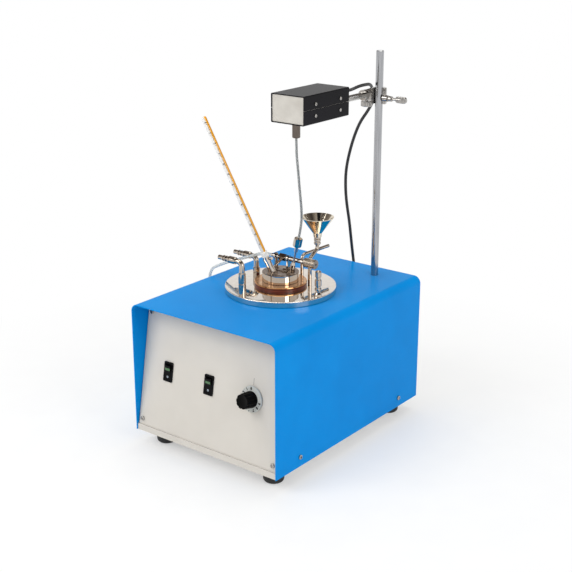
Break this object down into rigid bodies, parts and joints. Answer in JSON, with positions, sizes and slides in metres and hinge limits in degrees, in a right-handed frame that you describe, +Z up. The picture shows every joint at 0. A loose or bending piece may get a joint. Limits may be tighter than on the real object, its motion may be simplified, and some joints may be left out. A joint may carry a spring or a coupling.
{
  "type": "flash point tester",
  "caption": "Bench instrument that warms an oil cup in a water bath under a stirred lid with a dipping test jet, with its stirrer motor on a stand.",
  "frame": {"origin": "on the bench surface under the middle of the housing", "axes": "+X to the right seen from the control panel, +Y to the back, +Z up; the control panel faces -Y"},
  "size_m": [0.3542, 0.4212, 0.596],
  "materials": {
    "blue_paint": "fine-textured powder coat",
    "grey_paint": "satin powder coat",
    "black_paint": "satin powder coat",
    "black_rubber": "moulded",
    "zinc_steel": "bright zinc plate",
    "black_plastic": "semi-gloss moulded",
    "rocker_plastic": "gloss with green lens",
    "bare_aluminium": "satin",
    "board_resin": "laminate with parts",
    "chrome_plate": "polished plate",
    "stainless": "brushed",
    "brown_phenolic": "turned laminate",
    "black_cable": "extruded sheath",
    "silicone_tube": "translucent extrusion",
    "polished_brass": "polished",
    "thermometer_glass": "polished, yellow backed",
    "white_ptfe": "turned"
  },
  "bodies": {
    "base": {"cover": "blue_paint", "base_tray": "grey_paint", "front_panel": "grey_paint", "rear_panel": "grey_paint", "rubber_feet": "black_rubber", "foot_screws": "zinc_steel", "housing_screws": "zinc_steel", "main_switch_body": "black_plastic", "stirrer_switch_body": "black_plastic", "regulator_pot": "bare_aluminium", "mains_inlet": "black_plastic", "control_board": "board_resin", "bath_plate": "chrome_plate", "bath_vessel": "stainless", "air_chamber": "stainless", "band_heater": "stainless", "insulating_ring": "brown_phenolic", "coolant_pipes": "chrome_plate", "hose_tails": "chrome_plate", "vent_post": "chrome_plate", "filler_pipe": "chrome_plate", "overflow_pipe": "chrome_plate", "rod_socket": "stainless", "rear_gland": "black_plastic", "motor_cable_lower": "black_cable", "gas_tube_outer": "silicone_tube", "gas_tube_coil": "silicone_tube"},
    "main_switch": {"main_switch_rocker": "rocker_plastic"},
    "stirrer_switch": {"stirrer_switch_rocker": "rocker_plastic"},
    "regulator": {"regulator_knob": "black_plastic"},
    "funnel": {"funnel": "chrome_plate"},
    "cup": {"oil_cup": "polished_brass"},
    "lid": {"cup_lid": "chrome_plate", "trunnion_posts": "chrome_plate", "thermometer_socket": "chrome_plate", "stirrer_bush": "chrome_plate", "gas_tube_inner": "silicone_tube"},
    "thermometer": {"thermometer": "thermometer_glass", "thermometer_collar": "white_ptfe"},
    "jet": {"test_jet": "chrome_plate"},
    "gas_valve": {"gas_valve_knob": "chrome_plate"},
    "shutter": {"shutter": "chrome_plate"},
    "stirrer": {"stirrer_spindle": "stainless", "coupling_nut": "chrome_plate"},
    "rod": {"stand_rod": "stainless", "motor_cable_middle": "black_cable"},
    "boss": {"boss_head": "zinc_steel", "motor_cable_upper": "black_cable"},
    "rod_screw": {"rod_clamp_screw": "zinc_steel"},
    "arm_screw": {"arm_clamp_screw": "zinc_steel"},
    "head": {"support_arm": "stainless", "head_case_upper": "black_paint", "head_case_lower": "black_paint", "head_inner_frame": "bare_aluminium", "head_case_screws": "zinc_steel", "stirrer_motor": "stainless", "head_gland": "black_plastic", "flex_shaft": "stainless"},
    "rotor": {"motor_rotor": "stainless"}
  },
  "joints": [
    {"name": "main_rocker", "type": "hinge", "parent": "base", "child": "main_switch", "pos_m": [-0.0853, -0.16664, 0.12848], "axis": [-1, 0, 0], "range_deg": [0, 20]},
    {"name": "stirrer_rocker", "type": "hinge", "parent": "base", "child": "stirrer_switch", "pos_m": [-0.003, -0.16664, 0.12848], "axis": [-1, 0, 0], "range_deg": [0, 20]},
    {"name": "regulator_turn", "type": "hinge", "parent": "base", "child": "regulator", "pos_m": [0.08, -0.1696, 0.129], "axis": [0, 0.9848, -0.1736], "range_deg": [0, 280]},
    {"name": "funnel_lift", "type": "slide", "parent": "base", "child": "funnel", "axis": [0, 0, 1], "range_m": [0, 0.05]},
    {"name": "stand_swing", "type": "hinge", "parent": "base", "child": "rod", "pos_m": [0.0743, 0.1534, 0.3], "axis": [0, 0, 1], "range_deg": [0, 75], "deforming": ["motor_cable_lower"]},
    {"name": "boss_slide", "type": "slide", "parent": "rod", "child": "boss", "axis": [0, 0, 1], "range_m": [0, 0.055], "deforming": ["motor_cable_middle", "gas_tube_outer"]},
    {"name": "rod_clamp_turn", "type": "hinge", "parent": "boss", "child": "rod_screw", "pos_m": [0.095, 0.1534, 0.5235], "axis": [1, 0, 0], "range_deg": [0, 270]},
    {"name": "arm_clamp_turn", "type": "hinge", "parent": "boss", "child": "arm_screw", "pos_m": [0.0513, 0.1534, 0.507], "axis": [0, 0, 1], "range_deg": [0, 270]},
    {"name": "arm_reach", "type": "slide", "parent": "boss", "child": "head", "axis": [0, -1, 0], "range_m": [-0.012, 0.012], "deforming": ["motor_cable_upper"]},
    {"name": "motor_spin", "type": "hinge", "parent": "head", "child": "rotor", "pos_m": [0.052, -0.029, 0.53], "axis": [0, 0, 1], "continuous": true},
    {"name": "cup_lift", "type": "slide", "parent": "base", "child": "cup", "axis": [0, 0, 1], "range_m": [0, 0.055]},
    {"name": "lid_lift", "type": "slide", "parent": "cup", "child": "lid", "axis": [0, 0, 1], "range_m": [0, 0.06], "deforming": ["flex_shaft", "gas_tube_inner"]},
    {"name": "thermometer_slide", "type": "slide", "parent": "lid", "child": "thermometer", "axis": [-0.3343, -0.2084, 0.9191], "range_m": [0, 0.07]},
    {"name": "stirrer_spin", "type": "hinge", "parent": "lid", "child": "stirrer", "pos_m": [0.0169, 0.0056, 0.265], "axis": [0.2351, 0, 0.972], "continuous": true},
    {"name": "test_jet_tilt", "type": "hinge", "parent": "lid", "child": "jet", "pos_m": [0, 0.0135, 0.283], "axis": [1, 0, 0], "range_deg": [0, 38], "stiffness_Nm_per_rad": 0.006, "springref_deg": -40.11},
    {"name": "gas_valve_turn", "type": "hinge", "parent": "jet", "child": "gas_valve", "pos_m": [0.045, 0.0135, 0.283], "axis": [1, 0, 0], "range_deg": [0, 270]},
    {"name": "shutter_slide", "type": "slide", "parent": "lid", "child": "shutter", "axis": [-1, 0, 0], "range_m": [0, 0.012]}
  ],
  "couplings": [
    {"joint": "shutter_slide", "follows": "test_jet_tilt", "m_per_rad": 0.01808},
    {"joint": "stirrer_spin", "follows": "motor_spin", "ratio": 1},
    {"joint": "cup_lift", "follows": "boss_slide", "ratio": 1}
  ]
}
